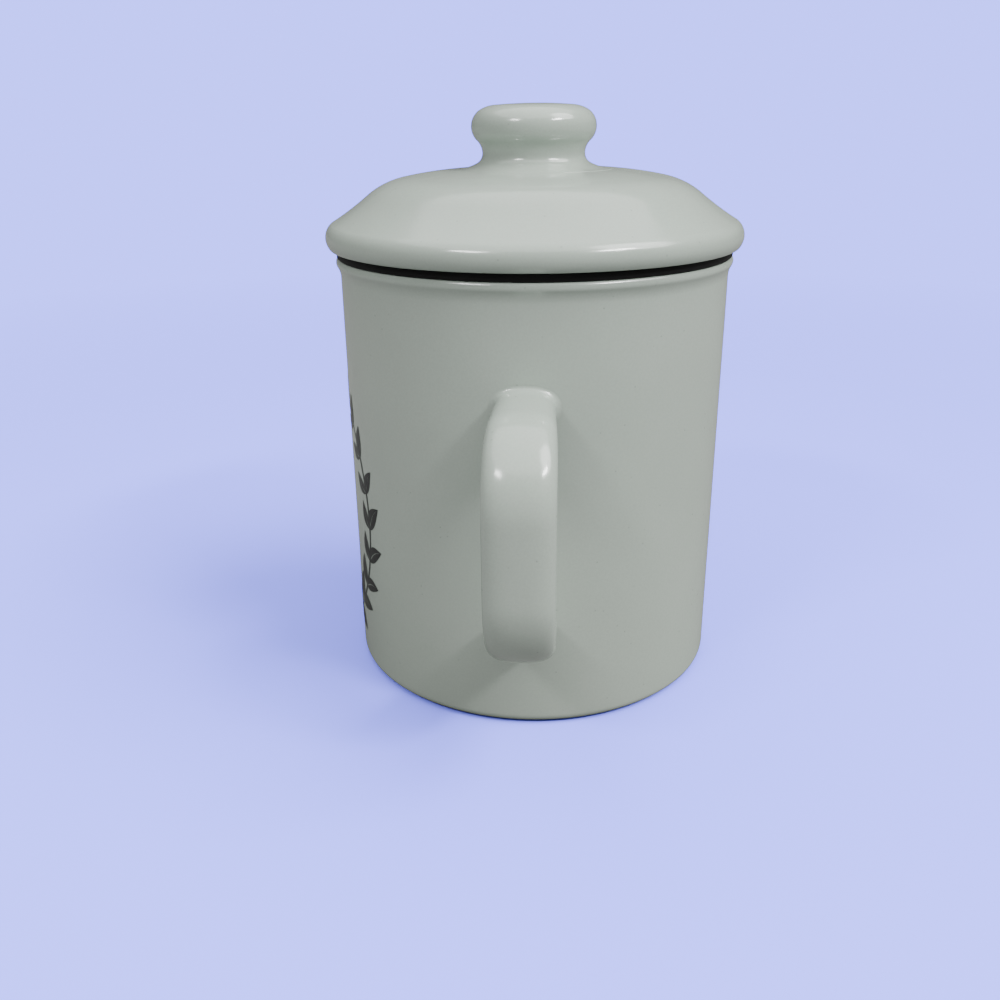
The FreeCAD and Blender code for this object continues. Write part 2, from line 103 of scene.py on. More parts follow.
# Sizes of the lid and the knob.
SPIGOT_RADIUS = 44.3 * MM
SPIGOT_INSIDE = 41.1 * MM
NECK_RADIUS = 13.2 * MM
NECK_FILLET = 3.3 * MM

# Sizes of the seal.
SEAL_INSIDE = 44.4 * MM
SLEEVE_RADIUS = 45.8 * MM
FIN_REACH = 1.3 * MM

# Sizes of the strainer.
SHEET = 0.7 * MM
SHEET_BEND = 1.0 * MM
CUP_RADIUS = 44.4 * MM
LIP_WIDTH = 5.8 * MM
CLAMP_WIDTH = 3.6 * MM
WIRE_RADIUS = 0.17 * MM
LOOP_ROOT = 43.6 * MM
LOOP_BEND = 6 * MM

# Steps round a turned piece, and the tiny open radius on its axis, which is filled afterwards.
AROUND = 192
POLE = 0.05 * MM


class ContainerLook(PropertyGroup):
    """The sizes and colours that a user would change."""

    glaze: FloatVectorProperty(
        name="Glaze", description="Colour of the glazed ceramic", subtype="COLOR", size=3,
        min=0.0, max=1.0, default=(0.415, 0.480, 0.425))
    glaze_gloss: FloatProperty(
        name="Glaze roughness", description="How soft the glaze's reflections are",
        min=0.0, max=1.0, default=0.17)
    speck_share: FloatProperty(
        name="Specks", description="Share of the glaze's cells that hold a speck",
        min=0.0, max=1.0, subtype="FACTOR", default=0.10)
    ink: FloatVectorProperty(
        name="Ink", description="Colour of the printed wreath", subtype="COLOR", size=3,
        min=0.0, max=1.0, default=(0.010, 0.011, 0.011))
    wreath_radius: FloatProperty(
        name="Wreath radius", description="Middle of the printed wreath to its stem",
        subtype="DISTANCE", unit="LENGTH", min=0.005, max=0.04, default=29.5 * MM)
    leaf_pairs: IntProperty(
        name="Leaf pairs", description="Pairs of leaves on each branch of the wreath",
        min=3, max=20, default=9)
    seal: FloatVectorProperty(
        name="Seal", description="Colour of the silicone seal", subtype="COLOR", size=3,
        min=0.0, max=1.0, default=(0.003, 0.003, 0.003))
    wire_pitch: FloatProperty(
        name="Mesh pitch", description="One wire of the strainer's mesh to the next",
        subtype="DISTANCE", unit="LENGTH", min=0.0008, max=0.005, default=1.7 * MM)
    floor: FloatVectorProperty(
        name="Floor", description="Brightness and colour of the floor and the room behind it",
        subtype="COLOR", size=3, min=0.0, max=10.0, default=(0.832, 0.921, 4.20))
    window_power: FloatProperty(
        name="Right window", description="Power of the soft light to the right",
        subtype="POWER", unit="POWER", min=0.0, max=200.0, default=8.4)
    second_power: FloatProperty(
        name="Left window", description="Power of the soft light to the left",
        subtype="POWER", unit="POWER", min=0.0, max=200.0, default=4.9)
    side_sun: FloatProperty(
        name="Side light", description="Strength of the wide light from the right",
        min=0.0, max=20.0, default=2.4)
    top_sun: FloatProperty(
        name="Top light", description="Strength of the wide light from above",
        min=0.0, max=20.0, default=2.6)


def look():
    """The settings of this scene."""
    return bpy.context.scene.container_look


def clear_selection():
    """Leaves nothing selected, so that an operator acts on new work alone."""
    if bpy.context.object and bpy.context.object.mode != "OBJECT":
        bpy.ops.object.mode_set(mode="OBJECT")
    bpy.ops.object.select_all(action="DESELECT")


def turn_outside_out(piece, doubles=1e-6):
    """Merges what coincides and points every face outwards."""
    bpy.context.view_layer.objects.active = piece
    bpy.ops.object.mode_set(mode="EDIT")
    bpy.ops.mesh.select_all(action="SELECT")
    bpy.ops.mesh.remove_doubles(threshold=doubles)
    bpy.ops.mesh.normals_make_consistent(inside=False)
    bpy.ops.object.mode_set(mode="OBJECT")
    bpy.ops.object.shade_smooth()


def settle(piece, body, material, *nodes):
    """Gives the piece its finish and body, and hides the frame parts that it stands for."""
    piece.location = (0, 0, 0)
    piece.data.materials.clear()
    piece.data.materials.append(material)
    if nodes:
        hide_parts(*nodes)
    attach(piece, body)


class Outline:
    """Half the outline of a round piece: (radius, height) points, side by side."""

    def __init__(self, radius, height):
        self.points = [Vector((radius, height))]

    def line(self, radius, height, cuts=1):
        """A straight side to a point."""
        start, end = self.points[-1], Vector((radius, height))
        self.points += [start.lerp(end, step / cuts) for step in range(1, cuts + 1)]
        return self

    def arc(self, radius, height, bend, cuts=8):
        """The short arc to a point. A positive bend turns left, and a negative one right."""
        start, end = self.points[-1], Vector((radius, height))
        chord = end - start
        rise = math.sqrt(max(bend * bend - chord.length_squared / 4, 0.0))
        left = Vector((-chord.y, chord.x)).normalized()
        centre = (start + end) / 2 + left * math.copysign(rise, bend)
        first = start - centre
        turn = first.angle_signed(end - centre)
        for step in range(1, cuts + 1):
            angle = -turn * step / cuts
            cos, sin = math.cos(angle), math.sin(angle)
            spoke = Vector((first.x * cos - first.y * sin, first.x * sin + first.y * cos))
            self.points.append(centre + spoke)
        return self


def lathe(name, outline, steps=AROUND):
    """A round piece: its outline is drawn point by point and spun about the jar's axis."""
    clear_selection()
    bpy.ops.mesh.primitive_plane_add(size=1)
    piece = bpy.context.object
    piece.name = name
    bpy.ops.object.mode_set(mode="EDIT")
    bpy.ops.mesh.merge(type="CENTER")
    here = Vector((0.0, 0.0))
    for index, point in enumerate(outline.points):
        move = (point.x - here.x, 0, point.y - here.y)
        if index:
            bpy.ops.mesh.extrude_vertices_move(TRANSFORM_OT_translate={"value": move})
        else:
            bpy.ops.transform.translate(value=move)
        here = point
    bpy.ops.mesh.select_all(action="SELECT")
    bpy.ops.mesh.spin(steps=steps, angle=2 * math.pi, center=(0, 0, 0), axis=(0, 0, 1))
    bpy.ops.object.mode_set(mode="OBJECT")
    turn_outside_out(piece)
    return piece


def wrapped(name, across, along, place):
    """A grid whose points are laid where place(u, v) says, with u and v from 0 to 1."""
    clear_selection()
    bpy.ops.mesh.primitive_grid_add(x_subdivisions=across, y_subdivisions=along, size=1)
    piece = bpy.context.object
    piece.name = name
    for vertex in piece.data.vertices:
        vertex.co = place(vertex.co.x + 0.5, vertex.co.y + 0.5)
    return piece


def joined(name, pieces):
    """Joins pieces into one."""
    clear_selection()
    for piece in pieces:
        piece.select_set(True)
    bpy.context.view_layer.objects.active = pieces[0]
    bpy.ops.object.join()
    whole = bpy.context.object
    whole.name = name
    return whole


def waver(piece, depth, length):
    """Moves the surface in by up to the depth, in soft waves, as hand-finished clay wavers."""
    cloud = bpy.data.textures.new(piece.name + "_waves", "CLOUDS")
    cloud.noise_scale = length
    cloud.noise_depth = 0
    waves = piece.modifiers.new("waves", "DISPLACE")
    waves.texture = cloud
    waves.strength = depth
    waves.mid_level = 1.0
    clear_selection()
    bpy.context.view_layer.objects.active = piece
    bpy.ops.object.modifier_apply(modifier=waves.name)


class Recipe:
    """A material's node tree, written one node at a time."""

    def __init__(self, name):
        self.material = bpy.data.materials.new(name)
        self.material.use_nodes = True
        self.tree = self.material.node_tree
        self.shader = self.tree.nodes["Principled BSDF"]
        self.place = self.add("ShaderNodeTexCoord").outputs["Object"]

    def add(self, kind, links=(), **settings):
        """Adds a node. Settings are its properties, and links its (input, value or socket)."""
        made = self.tree.nodes.new(kind)
        for key, value in settings.items():
            setattr(made, key, value)
        for key, value in links:
            if isinstance(value, bpy.types.NodeSocket):
                self.tree.links.new(value, made.inputs[key])
            else:
                made.inputs[key].default_value = value
        return made

    def math(self, operation, first, second=0.0):
        """Works out a value from two values or sockets."""
        made = self.add("ShaderNodeMath", [(0, first), (1, second)], operation=operation)
        return made.outputs[0]

    def noise(self, scale, detail=2.0, stretch=(1, 1, 1), roughness=0.5):
        """Soft noise over the piece's own place."""
        mapped = self.add("ShaderNodeMapping", [("Vector", self.place), ("Scale", stretch)])
        made = self.add("ShaderNodeTexNoise", [
            ("Vector", mapped.outputs[0]), ("Scale", scale), ("Detail", detail),
            ("Roughness", roughness)])
        return made.outputs["Fac"]

    def ramp(self, value, low, high, out_low=0.0, out_high=1.0):
        """Maps a value from one range to another."""
        made = self.add("ShaderNodeMapRange", [
            ("Value", value), ("From Min", low), ("From Max", high),
            ("To Min", out_low), ("To Max", out_high)], clamp=True)
        return made.outputs["Result"]

    def tint(self, share, first, second):
        """Mixes two colours."""
        made = self.add("ShaderNodeMix", [(0, share)], data_type="RGBA")
        for slot, colour in ((6, first), (7, second)):
            if isinstance(colour, bpy.types.NodeSocket):
                self.tree.links.new(colour, made.inputs[slot])
            else:
                made.inputs[slot].default_value = (*colour, 1)
        return made.outputs[2]

    def bump(self, height, distance, strength=1.0, under=None):
        """Raises the surface by a height."""
        links = [("Height", height), ("Distance", distance), ("Strength", strength)]
        if under:
            links.append(("Normal", under))
        return self.add("ShaderNodeBump", links).outputs["Normal"]

    def finish(self, **sockets):
        """Sets the shader's sockets, each to a value or to another socket."""
        for key, value in sockets.items():
            name = key.replace("_", " ")
            if isinstance(value, bpy.types.NodeSocket):
                self.tree.links.new(value, self.shader.inputs[name])
            else:
                self.shader.inputs[name].default_value = value
        return self.material


def shaded(colour, share):
    """The colour, lighter or darker by a share."""
    return tuple(channel * share for channel in colour)


def glaze_material():
    """Glossy pale green glaze: cloudy colour, specks, fine grain, pits and a slight peel."""
    made = Recipe("pale_glaze")
    base = tuple(look().glaze)
    clouds = made.ramp(made.noise(22, 3), 0.35, 0.65)
    colour = made.tint(clouds, shaded(base, 0.965), shaded(base, 1.03))
    warm = made.ramp(made.noise(9, 2), 0.40, 0.70, 0.0, 0.35)
    colour = made.tint(warm, colour, (base[0], base[1] * 0.965, base[2] * 0.93))

    cells = made.add("ShaderNodeTexVoronoi", [("Vector", made.place), ("Scale", 520.0)])
    chosen = made.add("ShaderNodeSeparateColor", [(0, cells.outputs["Color"])]).outputs[0]
    chosen = made.math("LESS_THAN", chosen, look().speck_share)
    spot = made.ramp(cells.outputs["Distance"], 0.05, 0.16, 1.0, 0.0)
    speck = made.math("MULTIPLY", chosen, spot)
    colour = made.tint(made.math("MULTIPLY", speck, 0.5), colour, shaded(base, 0.45))

    grain = made.ramp(made.noise(1900, 1), 0.35, 0.65, 0.0, 0.22)
    colour = made.tint(grain, colour, shaded(base, 0.80))

    holes = made.add("ShaderNodeTexVoronoi", [("Vector", made.place), ("Scale", 62.0)])
    picked = made.add("ShaderNodeSeparateColor", [(0, holes.outputs["Color"])]).outputs[1]
    picked = made.math("LESS_THAN", picked, 0.24)
    pit = made.ramp(holes.outputs["Distance"], 0.010, 0.028, 1.0, 0.0)
    pit = made.math("MULTIPLY", picked, pit)
    colour = made.tint(made.math("MULTIPLY", pit, 0.75), colour, (0.10, 0.085, 0.07))

    peel = made.bump(made.noise(95, 2), 0.10 * MM)
    fine = made.bump(made.noise(520, 2), 0.006 * MM, under=peel)
    sunk = made.bump(made.math("MULTIPLY", pit, -1.0), 0.3 * MM, under=fine)
    rough = look().glaze_gloss
    gloss = made.ramp(made.noise(60, 2), 0.3, 0.7, rough * 0.85, rough * 1.2)
    return made.finish(
        Base_Color=colour, Roughness=gloss, Normal=sunk, IOR=1.5, Specular_IOR_Level=0.8)


def biscuit_material():
    """Bare fired clay on the foot ring."""
    made = Recipe("bare_foot")
    grain = made.noise(900, 4)
    colour = made.tint(made.ramp(grain, 0.35, 0.65), (0.42, 0.38, 0.32), (0.60, 0.56, 0.50))
    return made.finish(Base_Color=colour, Roughness=0.85, Normal=made.bump(grain, 0.05 * MM))


def ink_material():
    """Charcoal print under the same gloss."""
    made = Recipe("charcoal_print")
    ink = tuple(look().ink)
    worn = made.ramp(made.noise(700, 3), 0.45, 0.75)
    colour = made.tint(worn, ink, shaded(ink, 2.6))
    peel = made.bump(made.noise(95, 2), 0.10 * MM)
    return made.finish(Base_Color=colour, Roughness=0.30, Normal=peel, Specular_IOR_Level=0.3)


def silicone_material():
    """Black silicone, with a faint bloom."""
    made = Recipe("black_silicone")
    seal = tuple(look().seal)
    bloom = made.ramp(made.noise(160, 3), 0.45, 0.75, 0.0, 0.5)
    colour = made.tint(bloom, seal, shaded(seal, 2.5))
    return made.finish(
        Base_Color=colour, Roughness=0.6, Specular_IOR_Level=0.25,
        Normal=made.bump(made.noise(900, 2), 0.01 * MM))


def steel_material(name, rings):
    """Bright steel. Rings gives it the fine level lines of a spun or drawn piece."""
    made = Recipe(name)
    stretch = (1, 1, 60) if rings else (1, 1, 1)
    lines = made.noise(70 if rings else 500, 4, stretch)
    colour = made.tint(made.ramp(lines, 0.3, 0.7), (0.52, 0.53, 0.54), (0.68, 0.68, 0.68))
    rough = made.ramp(lines, 0.3, 0.7, 0.20, 0.36)
    return made.finish(
        Base_Color=colour, Metallic=1.0, Roughness=rough, Normal=made.bump(lines, 0.01 * MM))


def lit_evenly(tree, colour, surface):
    """Shows the camera an even colour, and the rest of the scene a neutral surface."""
    path = tree.nodes.new("ShaderNodeLightPath").outputs["Is Camera Ray"]
    even = tree.nodes.new("ShaderNodeMixShader")
    tree.links.new(path, even.inputs[0])
    tree.links.new(surface, even.inputs[1])
    tree.links.new(colour, even.inputs[2])
    return even.outputs[0]


# What falls on the open floor, from all lights together.
FLOOR_LIGHT = 6.55
# Where the matt floor starts to give way to the room's even colour, and where it has.
MATT_TO, EVEN_FROM = 0.35, 0.75
# How much light the floor throws back at the object, and how much comes from the room.
FLOOR_BOUNCE = 0.20
ROOM_LIGHT = 0.13


def floor_material():
    """The pale floor: shadows round the object, and the room's colour far off."""
    made = Recipe("pale_floor")
    shown = tuple(look().floor)
    light = tuple(channel * math.pi / FLOOR_LIGHT for channel in shown)
    matt = made.add("ShaderNodeBsdfDiffuse", [("Color", (*light, 1))]).outputs[0]
    glow = made.add("ShaderNodeEmission", [("Color", (*shown, 1))]).outputs[0]
    reach = made.add("ShaderNodeVectorMath", [(0, made.place)], operation="LENGTH")
    share = made.ramp(reach.outputs["Value"], MATT_TO, EVEN_FROM)
    seen = made.add("ShaderNodeMixShader", [(0, share), (1, matt), (2, glow)]).outputs[0]
    grey = (FLOOR_BOUNCE, FLOOR_BOUNCE, FLOOR_BOUNCE, 1)
    plain = made.add("ShaderNodeBsdfDiffuse", [("Color", grey)]).outputs[0]
    output = made.tree.nodes["Material Output"]
    made.tree.links.new(lit_evenly(made.tree, seen, plain), output.inputs["Surface"])
    made.tree.nodes.remove(made.shader)
    return made.material


MATERIALS = {}


def material(name):
    """A finish, made once."""
    recipes = {
        "glaze": glaze_material,
        "biscuit": biscuit_material,
        "ink": ink_material,
        "silicone": silicone_material,
        "spun_steel": lambda: steel_material("spun_steel", True),
        "wire_steel": lambda: steel_material("wire_steel", False),
        "floor": floor_material,
    }
    if name not in MATERIALS:
        MATERIALS[name] = recipes[name]()
    return MATERIALS[name]


def circle_through(half_chord, swell):
    """The radius of an arc that swells out over a chord."""
    return (half_chord ** 2 + swell ** 2) / (2 * swell)


def jar_outline():
    """The jar, from the middle of its foot, up outside, over the rim and down inside."""
    flare_z = RIM_Z - RIM_HEIGHT
    swell = circle_through(RIM_HEIGHT / 2, RIM_RADIUS - RIM_EDGE)
    flare = circle_through(RIM_FLARE, RIM_EDGE - WALL_RADIUS)
    soft = 0.15 * MM
    ring = Outline(POLE, FOOT_HEIGHT)
    ring.line(FOOT_INSIDE - 1.2 * MM, FOOT_HEIGHT, 10)
    ring.arc(FOOT_INSIDE, soft, -1.4 * MM, 5)
    ring.arc(FOOT_INSIDE + soft, 0, soft, 4)
    ring.line(FOOT_OUTSIDE - soft, 0, 4)
    ring.arc(FOOT_OUTSIDE, soft, soft, 4)
    ring.line(FOOT_OUTSIDE, FOOT_HEIGHT - soft)
    ring.arc(FOOT_OUTSIDE + soft, FOOT_HEIGHT, -soft, 4)
    ring.line(WALL_RADIUS - BASE_ROUND, FOOT_HEIGHT)
    ring.arc(WALL_RADIUS, FOOT_HEIGHT + BASE_ROUND, BASE_ROUND, 14)
    ring.line(WALL_RADIUS, flare_z - RIM_FLARE, 60)
    ring.arc(RIM_EDGE, flare_z, -flare, 10)
    ring.arc(RIM_EDGE - 0.15 * MM, RIM_Z - 0.25 * MM, swell, 8)
    ring.arc(RIM_EDGE - 0.55 * MM, RIM_Z, 0.5 * MM, 5)
    ring.line(MOUTH_RADIUS + 0.5 * MM, RIM_Z, 3)
    ring.arc(MOUTH_RADIUS, RIM_Z - 0.5 * MM, 0.5 * MM, 5)
    ring.line(MOUTH_RADIUS, LEDGE_Z + 0.3 * MM, 6)
    ring.arc(MOUTH_RADIUS - 0.3 * MM, LEDGE_Z, -0.3 * MM, 3)
    ring.line(BORE_RADIUS + 0.3 * MM, LEDGE_Z)
    ring.arc(BORE_RADIUS, LEDGE_Z - 0.3 * MM, 0.3 * MM, 3)
    ring.line(BORE_RADIUS, FLOOR_Z + FLOOR_ROUND, 40)
    ring.arc(BORE_RADIUS - FLOOR_ROUND, FLOOR_Z, -FLOOR_ROUND, 12)
    ring.line(POLE, FLOOR_Z, 12)
    return ring


def close_holes(piece):
    """Fills what is open, such as the tiny holes on the axis and the ends of wires."""
    clear_selection()
    bpy.context.view_layer.objects.active = piece
    bpy.ops.object.mode_set(mode="EDIT")
    bpy.ops.mesh.select_all(action="SELECT")
    bpy.ops.mesh.fill_holes(sides=0)
    bpy.ops.object.mode_set(mode="OBJECT")


def strap_section(angle, half_width, half_thick):
    """A point of the strap's rounded section."""
    cos, sin = math.cos(angle), math.sin(angle)
    x = math.copysign(abs(cos) ** SECTION_POWER, cos) * half_width
    t = math.copysign(abs(sin) ** SECTION_POWER, sin) * half_thick
    return x, t


def wall_reach(x):
    """How far out the jar's wall is at a place across it."""
    return math.sqrt(WALL_RADIUS ** 2 - x * x)


class StrapPath:
    """The middle of the strap: out from the wall, down the front and back, as arc lengths."""

    def __init__(self):
        start = WALL_RADIUS
        self.head = FRONT_REACH - HEAD_BEND - start
        self.bend_z = HEAD_Z - HEAD_BEND
        self.tail_z = self.bend_z - FRONT_LENGTH
        self.turn = math.pi / 2 - TAIL_SLOPE
        self.arm_out = FRONT_REACH - TAIL_BEND + TAIL_BEND * math.sin(TAIL_SLOPE)
        self.arm_z = self.tail_z - TAIL_BEND * math.cos(TAIL_SLOPE)
        self.tail = (self.arm_out - start) / math.cos(TAIL_SLOPE)
        self.stretches = (self.head, HEAD_BEND * math.pi / 2, FRONT_LENGTH,
                          TAIL_BEND * self.turn, self.tail)
        self.length = sum(self.stretches)

    def at(self, distance):
        """The place (out, height) and the heading (as an angle down from level) at a distance."""
        head, upper, front, lower, _ = self.stretches
        if distance <= head:
            return WALL_RADIUS + distance, HEAD_Z, 0.0
        distance -= head
        if distance <= upper:
            angle = distance / HEAD_BEND
            out = FRONT_REACH - HEAD_BEND + HEAD_BEND * math.sin(angle)
            return out, self.bend_z + HEAD_BEND * math.cos(angle), angle
        distance -= upper
        if distance <= front:
            return FRONT_REACH, self.bend_z - distance, math.pi / 2
        distance -= front
        if distance <= lower:
            angle = distance / TAIL_BEND
            out = FRONT_REACH - TAIL_BEND + TAIL_BEND * math.cos(angle)
            return out, self.tail_z - TAIL_BEND * math.sin(angle), math.pi / 2 + angle
        distance -= lower
        out = self.arm_out - distance * math.cos(TAIL_SLOPE)
        return out, self.arm_z - distance * math.sin(TAIL_SLOPE), math.pi - TAIL_SLOPE


def eased(value, low, high):
    """Rises smoothly from 0 at low to 1 at high."""
    share = min(max((value - low) / (high - low), 0.0), 1.0)
    return share * share * (3 - 2 * share)


class OBJECT_OT_jar(Operator):
    """Throw the jar: foot ring, wall, rolled rim and the ledge in the mouth"""

    bl_idname = "container.jar"
    bl_label = "Jar"

    def execute(self, context):
        jar = lathe("jar_shell", jar_outline())
        close_holes(jar)
        waver(jar, 0.12 * MM, 30 * MM)
        settle(jar, "jar", material("glaze"), "jar_body")
        jar.data.materials.append(material("biscuit"))
        for face in jar.data.polygons:
            on_foot = face.center.z < 0.25 * MM
            face.material_index = 1 if on_foot else 0
        return {"FINISHED"}


class OBJECT_OT_handle(Operator):
    """Sweep the strap handle and blend both of its ends into the jar's wall"""

    bl_idname = "container.handle"
    bl_label = "Strap handle"

    ring_points = 48
    fillet_rings = 7
    strap_rings = 72

    def section(self, angle, distance, path):
        """The strap's half width and half thickness, wider down the front than at its joints."""
        share = distance / path.length
        wide = 7.1 + 0.8 * eased(share, 0.0, 0.30) - 1.1 * eased(share, 0.72, 1.0)
        thick = 4.3 - 0.4 * eased(share, 0.0, 0.28) + 0.5 * eased(share, 0.70, 1.0)
        return strap_section(angle, wide * MM, thick * MM)

    def on_strap(self, angle, distance, path):
        """A point of the strap's skin at a distance along its middle."""
        out, height, heading = path.at(distance)
        x, t = self.section(angle, distance, path)
        out += t * math.sin(heading)
        height += t * math.cos(heading)
        return Vector((x, -out, height))

    def at_joint(self, angle, share, path, tail):
        """A point of the fillet between strap and wall. Share runs from 0 on the wall to 1."""
        distance = path.length if tail else 0.0
        slope = math.tan(TAIL_SLOPE) if tail else 0.0
        x, t = self.section(angle, distance, path)
        height = path.at(distance)[1]
        height += t / math.cos(TAIL_SLOPE if tail else 0.0) * (-1 if tail else 1)
        spread = Vector((x, t * (-1 if tail else 1))).normalized()
        wide = JOINT_FILLET * (1 - math.sin(share * math.pi / 2))
        proud = JOINT_FILLET * (1 - math.cos(share * math.pi / 2))
        base = wall_reach(x)
        height += (base - WALL_RADIUS) * slope
        x += spread.x * wide
        height += spread.y * wide + proud * slope
        return Vector((x, -(wall_reach(x) + proud - 0.02 * MM), height))

    def place(self, u, v):
        """A point of the handle, round its section by u and from head to tail by v."""
        path = self.path
        angle = -2 * math.pi * u
        rings = self.fillet_rings * 2 + self.strap_rings
        ring = v * rings
        if ring < self.fillet_rings:
            return self.at_joint(angle, ring / self.fillet_rings, path, False)
        if ring > rings - self.fillet_rings:
            return self.at_joint(angle, (rings - ring) / self.fillet_rings, path, True)
        share = (ring - self.fillet_rings) / self.strap_rings
        if share in (0.0, 1.0):
            return self.at_joint(angle, 1.0, path, share == 1.0)
        near = JOINT_FILLET + 1.5 * MM
        distance = near + (path.length - 2 * near) * share
        return self.on_strap(angle, distance, path)

    def execute(self, context):
        self.__class__.path = StrapPath()
        rings = self.fillet_rings * 2 + self.strap_rings
        handle = wrapped("handle_strap", self.ring_points, rings, self.place)
        turn_outside_out(handle)
        settle(handle, "jar", material("glaze"), "strap_handle")
        return {"FINISHED"}


def lid_outline():
    """The lid, from the middle of its hollow, round the locating ring and over the brim."""
    low = LID_Z
    brim = BRIM_RADIUS - 1.06 * MM
    roof_z = SEAM_Z - 4.6 * MM
    roof = SPIGOT_INSIDE - 10.5 * MM
    soft = 0.7 * MM
    seam = 14.35 * MM
    ring = Outline(POLE, roof_z)
    ring.arc(roof, roof_z - 2.6 * MM, -circle_through(roof, 2.6 * MM), 16)
    ring.arc(SPIGOT_INSIDE, low + 4 * MM, -13 * MM, 12)
    ring.line(SPIGOT_INSIDE, LID_LOW.z + 0.8 * MM, 6)
    ring.arc(SPIGOT_INSIDE + 0.8 * MM, LID_LOW.z, 0.8 * MM, 5)
    ring.line(SPIGOT_RADIUS - 0.8 * MM, LID_LOW.z)
    ring.arc(SPIGOT_RADIUS, LID_LOW.z + 0.8 * MM, 0.8 * MM, 5)
    ring.line(SPIGOT_RADIUS, low, 6)
    ring.line(brim - soft * 1.3, low, 8)
    ring.arc(brim + soft * 0.18, low + soft * 0.75, soft * 1.6, 5)
    ring.arc(brim - 0.7 * MM, low + 6.2 * MM, 4.2 * MM, 22)
    ring.arc(brim - 10.4 * MM, low + 13.0 * MM, -83 * MM, 14)
    ring.arc(brim - 18.8 * MM, low + 17.0 * MM, 21 * MM, 12)
    ring.arc(NECK_RADIUS + NECK_FILLET, low + 19.0 * MM, 95 * MM, 16)
    ring.arc(seam, SEAM_Z, -NECK_FILLET, 6)
    ring.line(POLE, SEAM_Z, 4)
    return ring


def knob_outline():
    """The knob, from under its glazed-over foot on the crown up to the middle of its top."""
    crown_z = SEAM_Z - 0.95 * MM
    neck_z = SEAM_Z + 2.8 * MM
    throat_z = SEAM_Z + 5.94 * MM
    cap_z = throat_z + 7.26 * MM
    ring = Outline(POLE, crown_z - 0.8 * MM)
    ring.line(20.4 * MM, crown_z - 0.8 * MM, 8)
    ring.line(20.5 * MM, crown_z)
    ring.arc(14.62 * MM, crown_z + 1.43 * MM, -12.95 * MM, 10)
    ring.arc(NECK_RADIUS, neck_z, -2.6 * MM, 8)
    ring.arc(14.65 * MM, throat_z, -4.12 * MM, 12)
    ring.arc(13.8 * MM, cap_z, 4.7 * MM, 24)
    ring.arc(9.9 * MM, cap_z + 1.2 * MM, 8.5 * MM, 8)
    ring.arc(POLE, KNOB_HIGH.z, circle_through(9.9 * MM, 0.4 * MM), 10)
    return ring


class OBJECT_OT_lid(Operator):
    """Turn the lid with its brim, crown, hollow and locating ring"""

    bl_idname = "container.lid"
    bl_label = "Lid"

    def execute(self, context):
        lid = lathe("lid_shell", lid_outline())
        close_holes(lid)
        waver(lid, 0.10 * MM, 28 * MM)
        settle(lid, "lid", material("glaze"), "lid_dome")
        return {"FINISHED"}


class OBJECT_OT_knob(Operator):
    """Turn the knob, with its neck, swelling side and low domed top"""

    bl_idname = "container.knob"
    bl_label = "Knob"

    def execute(self, context):
        knob = lathe("knob_turned", knob_outline(), 128)
        close_holes(knob)
        waver(knob, 0.10 * MM, 14 * MM)
        settle(knob, "lid", material("glaze"), "lid_knob")
        return {"FINISHED"}


class OBJECT_OT_seal(Operator):
    """Mould the silicone seal, with its flat ring, sleeve and two wiping fins"""

    bl_idname = "container.seal"
    bl_label = "Seal"

    def execute(self, context):
        edge = SEAL_HIGH.x
        sleeve, inside = SLEEVE_RADIUS, SEAL_INSIDE
        bottom = SEAL_LOW.z
        ring = Outline(inside, LID_Z)
        ring.line(inside, bottom + 0.2 * MM, 4)
        ring.arc(inside + 0.2 * MM, bottom, 0.2 * MM, 3)
        ring.line(sleeve - 0.3 * MM, bottom)
        ring.arc(sleeve, bottom + 0.3 * MM, 0.3 * MM, 3)
        for number in (1, 0):
            top = RIM_Z - (0.9 + 2.1 * number) * MM
            ring.line(sleeve, top - 1.0 * MM, 2)
            ring.line(sleeve + FIN_REACH, top - 0.75 * MM, 2)
            ring.arc(sleeve + FIN_REACH, top - 0.25 * MM, 0.26 * MM, 5)
            ring.line(sleeve, top, 2)
        ring.line(sleeve, RIM_Z)
        ring.line(edge - 0.4 * MM, RIM_Z, 3)
        ring.arc(edge, RIM_Z + 0.4 * MM, 0.4 * MM, 4)
        ring.line(edge, LID_Z - 0.4 * MM, 2)
        ring.arc(edge - 0.4 * MM, LID_Z, 0.4 * MM, 4)
        ring.line(inside, LID_Z, 3)
        seal = lathe("seal_moulding", ring)
        settle(seal, "lid", material("silicone"), "seal_ring")
        return {"FINISHED"}


